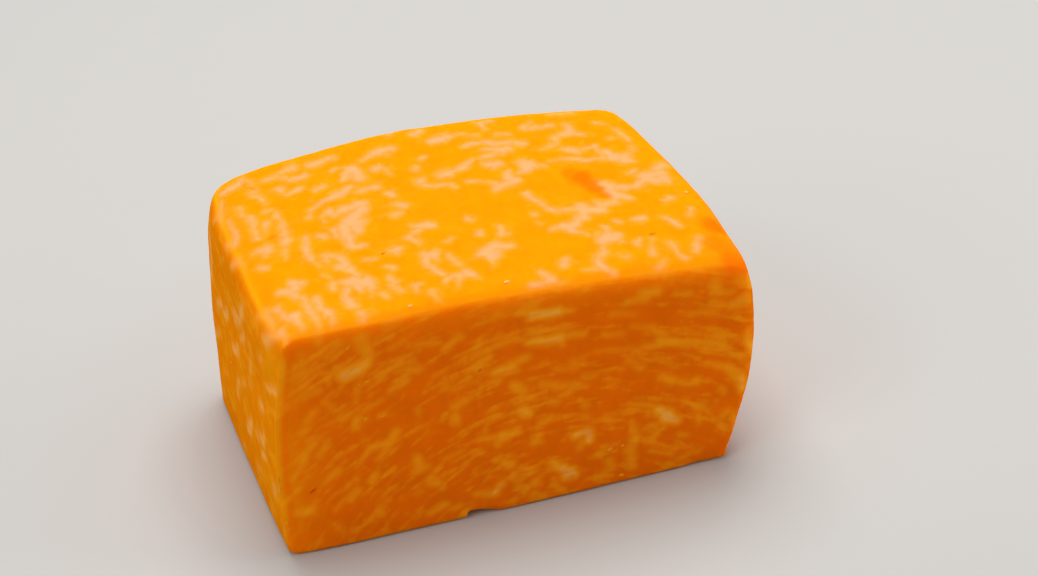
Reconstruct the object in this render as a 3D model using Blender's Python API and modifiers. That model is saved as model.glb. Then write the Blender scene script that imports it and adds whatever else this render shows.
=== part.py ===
"""A brick of marbled cheese: one soft-edged block, cut from a longer loaf and a little slumped.

The block rests on its flat foot. X runs along the long front face, Y from the front face to the
back and Z up, and the origin is the middle of the block's bounding box, on the foot's plane.
"""
import math

import bmesh
import bpy
from mathutils import Vector, noise

MM = 0.001

# The foot, where the block stands.
FOOT_LENGTH = 101.8 * MM
FOOT_DEPTH = 67.5 * MM
FOOT_LEFT = -0.6 * MM            # X of the foot's front left corner
FOOT_LEFT_SKEW = 3.2 * MM        # how much further left the foot's back left corner lies
FOOT_FRONT = -0.5 * MM           # Y of the foot's front left corner
FOOT_FRONT_SWEEP = 1.8 * MM      # how far back the foot's front right corner lies

# Heights of the top face at its edges.
FRONT_HEIGHT = 58.4 * MM         # at the front left corner
FRONT_SLUMP = 6 * MM             # fall of the front edge towards the right
FRONT_SLUMP_POWER = 2.6
BACK_LEFT_HEIGHT = 58.9 * MM
BACK_RIGHT_HEIGHT = 59 * MM
BACK_CROWN = 3.2 * MM            # rise of the back edge between its ends
BACK_CROWN_SKEW = 0.85           # under 1 moves the crown's peak to the left

# Sides. The right end leans out into a belly and narrows towards the back.
RIGHT_BELLY = 8.1 * MM
RIGHT_BELLY_TURNS = 0.74         # half turns of a sine from the foot to the top
RIGHT_NARROWING = 9.9 * MM
RIGHT_BOW = 2.5 * MM
LEFT_BULGE = 1.1 * MM
LEFT_BOW = 0.6 * MM
LEFT_FRONT_LEAN = 4 * MM         # how far the front left edge leans in by the top
LEFT_BACK_LEAN = 3.2 * MM        # how far the back left edge leans in by the top
LEAN_POWER = 2.5                 # over 1 keeps most of the lean near the top
FRONT_BULGE = 0.6 * MM
BACK_BOW = 3 * MM
BACK_BULGE = 1 * MM

# Hand-cut unevenness of the faces.
WAVE_HEIGHT = 0.3 * MM
WAVE_LENGTH = 24 * MM
WAVE_SEED = 3

# Radii of the rounded edges.
RADIUS = {
    "foot": 0.7 * MM,
    "top_front": 3.2 * MM,
    "top_back": 4.5 * MM,
    "top_left": 4 * MM,
    "top_right": 5 * MM,
    "front_left": 2.4 * MM,
    "front_right": 4.2 * MM,
    "back_left": 5 * MM,
    "back_right": 5.5 * MM,
}
LARGEST_RADIUS = max(RADIUS.values())
BEVEL_SEGMENTS = 3
SUBDIVISIONS = 1

# Strips of the block's net along X, Y and Z, before its edges are rounded.
STRIPS = (14, 10, 8)

# Nicks torn out of the foot's front edge: where each starts along X, its length, how far along
# that it is highest, and its height and depth there.
NICKS = {
    "nick_middle": (38.8 * MM, 10.5 * MM, 0.17, 1.9 * MM, 2.4 * MM),
    "nick_right": (87.5 * MM, 9 * MM, 0.85, 0.7 * MM, 1.4 * MM),
}
NICK_RINGS = 15
NICK_SIDES = 16

ORANGE = (0.93, 0.31, 0.01, 1)
ROUGHNESS = 0.42


def clear_scene():
    for obj in list(bpy.data.objects):
        bpy.data.objects.remove(obj, do_unlink=True)


def collection(name):
    made = bpy.data.collections.new(name)
    bpy.context.scene.collection.children.link(made)
    return made


def mix(a, b, share):
    return a + (b - a) * share


def left_side(back, up):
    """X of the left face, at a share of the depth and of the height."""
    foot_x = FOOT_LEFT - FOOT_LEFT_SKEW * back
    lean = mix(LEFT_FRONT_LEAN, LEFT_BACK_LEAN, back) * up**LEAN_POWER
    bulge = LEFT_BULGE * math.sin(math.pi * up) * (1 - back)
    return foot_x + lean - bulge - LEFT_BOW * math.sin(math.pi * back)


def right_side(back, up):
    belly = RIGHT_BELLY * math.sin(math.pi * RIGHT_BELLY_TURNS * up)
    bow = RIGHT_BOW * math.sin(math.pi * back)
    return FOOT_LENGTH + belly + bow - RIGHT_NARROWING * back


def front_side(along, up):
    bulge = FRONT_BULGE * math.sin(math.pi * along) * math.sin(math.pi * up)
    return FOOT_FRONT + FOOT_FRONT_SWEEP * along**3 - bulge


def back_side(along, up):
    bulge = BACK_BULGE * math.sin(math.pi * up)
    return FOOT_DEPTH + BACK_BOW * math.sin(math.pi * along) + bulge


def top_side(along, back):
    front_z = FRONT_HEIGHT - FRONT_SLUMP * along**FRONT_SLUMP_POWER
    back_z = mix(BACK_LEFT_HEIGHT, BACK_RIGHT_HEIGHT, along)
    back_z += BACK_CROWN * math.sin(math.pi * along**BACK_CROWN_SKEW)
    return mix(front_z, back_z, back)


def wave(point):
    """A small, smooth push that makes the faces look cut by hand. The foot's plane stays flat."""
    across = noise.noise_vector(point / WAVE_LENGTH) * WAVE_HEIGHT
    lift = min(1, point.z / WAVE_LENGTH)
    return Vector((across.x, across.y, across.z * lift))


def shaped(share):
    """Takes a point of the unit cube, (0, 0, 0) to (1, 1, 1), to its place on the block."""
    along, back, up = share
    point = Vector((
        mix(left_side(back, up), right_side(back, up), along),
        mix(front_side(along, up), back_side(along, up), back),
        top_side(along, back) * up,
    ))
    return point + wave(point)


def edge_name(first, second):
    """Which of the cube's 12 edges runs through both points of the unit cube, or None."""
    sides = []
    for low, high, a, b in zip(("left", "front", "foot"), ("right", "back", "top"), first, second):
        if a == b == 0:
            sides.append(low)
        elif a == b == 1:
            sides.append(high)
    if len(sides) != 2:
        return None
    if "foot" in sides:
        return "foot"
    if "top" in sides:
        return "top_" + sides[0]
    return sides[1] + "_" + sides[0]


def cube_net():
    """A unit cube from (0, 0, 0) to (1, 1, 1), its faces cut into strips along each axis."""
    net = bmesh.new()
    bmesh.ops.create_cube(net, size=1)
    bmesh.ops.translate(net, verts=net.verts, vec=(0.5, 0.5, 0.5))
    for axis, strips in enumerate(STRIPS):
        along = [
            edge for edge in net.edges
            if abs(edge.verts[0].co[axis] - edge.verts[1].co[axis]) > 0.5
        ]
        bmesh.ops.subdivide_edges(net, edges=along, cuts=strips - 1, use_grid_fill=True)
    for vertex in net.verts:
        for axis, strips in enumerate(STRIPS):
            vertex.co[axis] = round(vertex.co[axis] * strips) / strips
    return net


def block(target):
    """The block: the net of a cube, shaped, its edges rounded each to its own radius."""
    net = cube_net()
    weights = net.edges.layers.float.new("bevel_weight_edge")
    for edge in net.edges:
        name = edge_name(edge.verts[0].co, edge.verts[1].co)
        if name:
            edge[weights] = RADIUS[name] / LARGEST_RADIUS
    for vertex in net.verts:
        vertex.co = shaped(vertex.co)
    mesh = bpy.data.meshes.new("cheese_brick")
    net.to_mesh(mesh)
    net.free()

    obj = bpy.data.objects.new("cheese_brick", mesh)
    target.objects.link(obj)
    bevel = obj.modifiers.new("rounded_edges", "BEVEL")
    bevel.limit_method = "WEIGHT"
    bevel.width = LARGEST_RADIUS
    bevel.segments = BEVEL_SEGMENTS
    smooth = obj.modifiers.new("soft_form", "SUBSURF")
    smooth.levels = SUBDIVISIONS
    smooth.render_levels = SUBDIVISIONS
    return obj


def spindle(name, length, peak, height, depth):
    """A body that swells from a point to its fullest ring, at share peak of its length along X,
    and thins to a point again. Its rings are ellipses, height by depth at the fullest."""
    body = bmesh.new()
    rings = []
    for i in range(1, NICK_RINGS):
        share = i / NICK_RINGS
        swell = share / peak if share < peak else (1 - share) / (1 - peak)
        swell = math.sin(math.pi / 2 * swell)
        rings.append([
            body.verts.new((
                length * share,
                depth * swell * math.cos(2 * math.pi * j / NICK_SIDES),
                height * swell * math.sin(2 * math.pi * j / NICK_SIDES),
            ))
            for j in range(NICK_SIDES)
        ])
    start = body.verts.new((0, 0, 0))
    end = body.verts.new((length, 0, 0))
    for j in range(NICK_SIDES):
        k = (j + 1) % NICK_SIDES
        body.faces.new((start, rings[0][j], rings[0][k]))
        body.faces.new((rings[-1][j], end, rings[-1][k]))
        for near, far in zip(rings, rings[1:]):
            body.faces.new((near[j], far[j], far[k], near[k]))
    bmesh.ops.recalc_face_normals(body, faces=body.faces)
    mesh = bpy.data.meshes.new(name)
    body.to_mesh(mesh)
    body.free()
    return bpy.data.objects.new(name, mesh)


def cut_nick(obj, target, name, start_x, length, peak, height, depth):
    """Takes a spindle, lying along the foot's front edge, out of the block."""
    cutter = spindle(name, length, peak, height, depth)
    cutter.location = shaped(Vector((start_x / FOOT_LENGTH, 0, 0)))
    target.objects.link(cutter)
    cutter.hide_render = True
    cutter.display_type = "WIRE"
    cut = obj.modifiers.new(name, "BOOLEAN")
    cut.operation = "DIFFERENCE"
    cut.object = cutter


def centre_on_foot(objects, obj):
    """Moves everything so that the block's bounding box stands centred on the origin."""
    bpy.context.view_layer.update()
    evaluated = obj.evaluated_get(bpy.context.evaluated_depsgraph_get())
    corners = [evaluated.matrix_world @ Vector(corner) for corner in evaluated.bound_box]
    low = Vector(map(min, *corners))
    high = Vector(map(max, *corners))
    for each in objects:
        each.location -= Vector(((low.x + high.x) / 2, (low.y + high.y) / 2, low.z))


def cheese_material():
    material = bpy.data.materials.new("marbled_cheese")
    material.use_nodes = True
    shader = material.node_tree.nodes["Principled BSDF"]
    shader.inputs["Base Color"].default_value = ORANGE
    shader.inputs["Roughness"].default_value = ROUGHNESS
    return material


def main():
    clear_scene()
    noise.seed_set(WAVE_SEED)
    parts = collection("cheese")
    cutters = collection("cutters")
    cheese = block(parts)
    for name, sizes in NICKS.items():
        cut_nick(cheese, cutters, name, *sizes)
    cheese.data.materials.append(cheese_material())
    cheese.data.shade_smooth()
    centre_on_foot([cheese, *cutters.objects], cheese)


main()
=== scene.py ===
import math

import bmesh
import bpy
import numpy as np
from mathutils import Matrix, Vector, noise


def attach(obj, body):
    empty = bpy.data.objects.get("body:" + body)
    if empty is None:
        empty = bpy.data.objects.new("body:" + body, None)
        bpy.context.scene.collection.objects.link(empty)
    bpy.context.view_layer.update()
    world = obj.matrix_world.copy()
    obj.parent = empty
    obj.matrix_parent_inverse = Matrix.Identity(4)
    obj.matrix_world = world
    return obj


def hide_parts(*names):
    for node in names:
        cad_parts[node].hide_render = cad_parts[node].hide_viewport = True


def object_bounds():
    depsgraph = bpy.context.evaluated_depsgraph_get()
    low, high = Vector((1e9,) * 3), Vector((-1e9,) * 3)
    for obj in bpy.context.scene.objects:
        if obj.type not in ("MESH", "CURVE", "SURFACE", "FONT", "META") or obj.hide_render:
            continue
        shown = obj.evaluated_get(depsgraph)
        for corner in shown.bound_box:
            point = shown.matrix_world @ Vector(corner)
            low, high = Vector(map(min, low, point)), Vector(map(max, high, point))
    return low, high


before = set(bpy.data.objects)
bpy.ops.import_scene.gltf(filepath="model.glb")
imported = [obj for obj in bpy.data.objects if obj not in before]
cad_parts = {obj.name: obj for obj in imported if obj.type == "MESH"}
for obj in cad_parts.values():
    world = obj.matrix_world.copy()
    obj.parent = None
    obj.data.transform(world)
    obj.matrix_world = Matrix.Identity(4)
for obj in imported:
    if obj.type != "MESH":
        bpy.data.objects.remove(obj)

cad_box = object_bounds()

# Lengths and places are in millimetres in the row frame. MM turns them into metres.
MM = 0.001
SEED = 11
X, Y, Z = range(3)
cad_low, cad_high = (np.array(corner) / MM for corner in cad_box)

# Camera.
CAMERA_PLACE = (-126.4, -529.4, 401.5)
CAMERA_PITCH, CAMERA_ROLL, CAMERA_HEADING = 56.10, -3.40, -14.51        # degrees
CAMERA_LENS, CAMERA_SENSOR = 100, 36
CAMERA_CLIP = 10

# Floor and sky.
FLOOR_SIDE = 6000
FLOOR_COLOUR, FLOOR_ROUGHNESS, FLOOR_SPECULAR = (0.46, 0.45, 0.43), 0.9, 0.1
SKY_STRENGTH = 0.445

# Lamps: the place, what it points at, its side, and its power in watts.
LAMPS = {
    "key": ((60, 260, 850), (0, 10, 30), 620, 7.9),
    "left_fill": ((-500, -260, 480), (-20, 0, 30), 420, 1.27),
    "right_fill": ((640, -140, 260), (20, 0, 30), 420, 1.35),
}

# The block's skin: how finely it is remeshed, how much it is smoothed, and its low relief, which
# fades out at the flat foot. The swells and the dimples each have a length, a depth and a shift.
# A patch of the skin gives, for each axis that bounds it, where it starts and where it is full.
VOXEL = 0.65
SMOOTH_PASSES, SMOOTH_IN, SMOOTH_OUT = 14, 0.5, -0.53
SWELL_LENGTH, SWELL_DEPTH, SWELL_SHIFT = 11.0, 0.22, 3.0
DIMPLE_LENGTH, DIMPLE_DEPTH, DIMPLE_SHIFT = 3.4, 0.09, 8.0
SINK = 0.08                             # how far the skin sinks, to make room for its swells
ABOVE_FOOT = ((Z, 0.4, 3.0),)

# Where the wire's cuts meet, the upright front edges are crisper than the solid's. Squareness, 0 to
# 1, is how squarely the skin faces out of an edge: it begins to be the edge at the first value, and
# is all edge at the second.
CRISP_SQUARENESS = (0.78, 1.0)
LEFT_CRISP = 0.6
RIGHT_CRISP_X, RIGHT_CRISP_Y = -0.1, 1.6
RIGHT_CRISP_PATCH = ((Z, 22, 4),)

# Three places are moved out, and the front bends back beside its left edge.
LEFT_EDGE_SHIFT, LEFT_EDGE_PATCH = 0.6, ((X, -36, -50), (Y, 0, -28))
BELLY_SHIFT, BELLY_PATCH = 0.4, ((X, 30, 48), (Z, 34, 18))
LEFT_RIM_SHIFT, LEFT_RIM_PATCH = 1.7, ((X, -42, -52), (Z, 36, 57), (Y, -37, -25), (Y, 37, 8))
BEND_DEPTH, BEND_X, BEND_POWER = 0.9, (-43.0, -56.0), 2

# The top's left rim, and its front rim towards the right, are smoothed further and so get rounder.
ROUND_PASSES, ROUND_STEP = 70, 0.5
ROUND_LEFT_PATCH = ((X, -45, -50), (Z, 48, 53), (Y, -34, -20), (Y, 35, 28))
ROUND_FRONT, ROUND_FRONT_PATCH = 0.75, ((X, 0, 50), (Y, -26, -31), (Z, 41, 48))

# Which side a place belongs to. The front and the right end get a deeper, redder orange than the
# others:
# painted shade and warm bounce light, not the cheese's own colour.
SIDE_SHARPNESS = 6
SHADED_DEEP_SHARE = (0.45, 1.0)

# Noise that moves the marbling about: its length, its reach and its shift, and how much further it
# is shifted for each axis.
LARGE_WARP, SMALL_WARP, LEFT_WARP = (3.2, 0.55, 5.0), (1.5, 0.3, 60.0), (5.0, 1.6, 31.0)
WARP_APART = 17.0

# The clean-cut top, as depth inside a pale curd: the least depth, and how far the curds are grown.
FIELD_FLOOR = -3.0
CURD_GROWTH = 0.08
# Half the width of a curd's soft edge, and where along x it turns from the first to the second.
CLEAN_EDGE, DRAGGED_EDGE, DRAGGED_X = 1.5, 1.6, (-34.0, -52.0)

# The smeared sides: half the width of a stroke's soft edge. SMALLEST_SMEAR keeps the division by
# their share from running away on the top, where it is 0.
FRONT_SOFTNESS, LEFT_SOFTNESS, HIDDEN_SOFTNESS = 1.15, 2.1, 1.2
SMALLEST_SMEAR = 0.02

# The arcs in which the wire dragged the front and the back: their middle, the radius at which
# lengths along them are true, and how much longer the marbling is along them and into the depth.
ARC_X, ARC_Z, ARC_RADIUS = 10.0, -38.0, 75.0
ARC_STRETCH, DEPTH_STRETCH = 4.4, 3.0

# Curds strewn over the hidden sides: how many, and how far below the side the middle of their arcs
# lies. Then the range of each curd's number of strokes (the last is left out), and of each stroke's
# sizes and paleness, and how much strokes turn off the arc, in radians.
RIGHT_CURDS, BACK_CURDS, FOOT_CURDS = 42, 75, 80
RIGHT_ARC, FOOT_ARC = 60.0, 200.0
STREWN_STROKES, STREWN_TURN = (1, 4), 0.4
STREWN_LENGTH, STREWN_HALF_WIDTH, STREWN_PALENESS = (1.2, 4.2), (0.5, 1.3), (0.4, 0.95)

# Painted light: the upright front left edge, and the top's left and front edges, are made yellower for
# the light that these rims catch. RIM_PEAK lifts the product of two sides' shares, which is a quarter
# in the middle of their rim, to 1.
RIM_SQUARENESS, RIM_PATCH = (0.70, 0.95), ((Z, 4, 14), (Z, 56, 50))
EDGE_RIM, TOP_LEFT_RIM, TOP_FRONT_RIM = 0.6, 0.85, 0.5
RIM_PEAK = 4

# Light that shines through near the front's left edge and its top edge, which falls to the right as
# the solid's does.
GLOW_X, GLOW_POWER = (-40.0, -56.0), 1.5
FRONT_TOP_Z, FRONT_FALL, FRONT_FALL_POWER = 58.4, 6.0, 2.6
TOP_GLOW, TOP_GLOW_DROP = 0.8, (9.0, 1.5)

# Each reddish place, blush and painted shade alike, is full within the first share of its radius, and
# gone beyond the second.
BLUSH_REACH = (0.35, 1.25)

# Colours of orange curd, of faint pale curd and of full pale curd: on the clean-cut top, on the front
# and the right end, and on the other sides; those on the front and the right end are painted shade and
# warm bounce light. Then those of the rims, which are painted light, of the glow, and of the blushes,
# which round the front right top corner are painted shade.
TOP_ORANGE, TOP_FAINT, TOP_PALE = (0.87, 0.244, 0.001), (0.96, 0.318, 0.03), (0.965, 0.322, 0.122)
SHADED_DEEP_ORANGE, SHADED_DEEP_FAINT, SHADED_DEEP_PALE = (0.845, 0.148, 0.001), (0.98, 0.365, 0.008), (0.97, 0.40, 0.07)
SIDE_ORANGE, SIDE_FAINT, SIDE_PALE = (0.85, 0.196, 0.001), (0.93, 0.320, 0.008), (0.92, 0.35, 0.062)
RIM_LIGHT, GLOW, BLUSH_AND_SHADE = (0.84, 0.345, 0.003), (0.97, 0.205, 0.001), (0.92, 0.135, 0.001)
TOP_MARK, SIDE_MARK = (0.46, 0.64, 0.6), (0.7, 0.42, 0.4)               # these darken what is there
CRUMB_ORANGE, CRUMB_PEACH = (0.96, 0.27, 0.003), (0.98, 0.42, 0.09)

# Noises in the materials: the length of their features, their detail, roughness and distortion.
NOISES = {
    "lace": (2.4, 2.0, 0.5, 0.2),
    "wisp": (2.6, 1.0, 0.45, 0.2),
    "streak": (1.75, 1.0, 0.4, 0.2),
    "blotch": (5.4, 1.0, 0.4, 0.3),
    "cloud": (2.4, 1.0, 0.55, 0),
    "tone": (6.0, 3.0, 0.55, 0),
    "grain": (0.7, 3.0, 0.6, 0),
    "pore": (2.2, 3.0, 0.55, 0),
    "line": (0.9, 3.0, 0.55, 0),
    "crumb": (0.35, 3.0, 0.6, 0),
}
NOISE_MEAN = 0.5

# Ramps in the materials: the values between which each one runs, and what it gives there.
CURD_PALENESS = (0.0, 1.8, 0.74, 1.0)           # from the depth inside a curd
WISP_PALENESS = (0.04, 0.26, 0.0, 0.27)         # from the wisps' noise
WISP_SHARE = (-3.0, -0.4, 0.25, 1.0)            # from the depth inside a curd
STROKE_STREAKS = (-0.22, 0.16, 0.7, 1.2)        # from the streaks' noise
FAINT_STREAKS = (-0.1, 0.42, 0.0, 1.0)          # from streaks, blotches and clouds together
TOP_FULLNESS = (0.05, 0.8, 0.0, 1.0)            # from paleness to how full a pale curd's colour is
DEEP_FULLNESS = (0.6, 0.92, 0.0, 0.85)
SIDE_FULLNESS = (0.10, 0.75, 0.0, 1.0)
TONE = (-0.22, 0.22, 0.96, 1.04)                # from the tone's noise

# Weights of the materials' noises.
LACE_REACH = 1.9
BLOTCH_WEIGHT, CLOUD_WEIGHT = 0.9, 0.5
DEEP_STREAKS, SIDE_STREAKS = 0.62, 0.58         # paleness of the faint streaks
CRUMB_MOTTLE = 0.25

# Marks: how their outline is frayed, how deep into the skin they reach, and where they are darkest.
FRAY_LENGTH, FRAY_DETAIL, FRAY_REACH = 0.9, 2.0, 0.5
MARK_DEPTH, MARK_CORE = 2.5, 0.25

# Roughness of orange and of pale curd, and what the grain adds.
ORANGE_ROUGHNESS, PALE_ROUGHNESS, GRAIN_ROUGHNESS = 0.46, 0.54, 0.16
CRUMB_ROUGHNESS = 0.5
CHEESE_IOR, CHEESE_SPECULAR = 1.42, 0.0

# Depth of the bumps, and the share in it of pores, grain, drag lines, pale curd and marks.
SKIN_BUMP, CRUMB_BUMP = 0.16, 0.05
PORE_HEIGHT, GRAIN_HEIGHT, LINE_HEIGHT, PALE_HEIGHT, MARK_HEIGHT = 0.55, 0.25, 0.45, -0.05, -0.4

# Light that goes into the cheese and comes out again: its weight, and how far each colour goes.
SCATTER_WEIGHT, SCATTER_RADIUS = 0.5, (1.0, 0.28, 0.08)
CHEESE_SCATTER, CRUMB_SCATTER = 2.4, 0.6

# Crumbs: how often the ball that each starts from is divided, and how uneven it is made.
CRUMB_DETAIL, CRUMB_UNEVEN, CRUMB_UNEVEN_SCALE = 3, 0.45, 3.5

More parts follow.
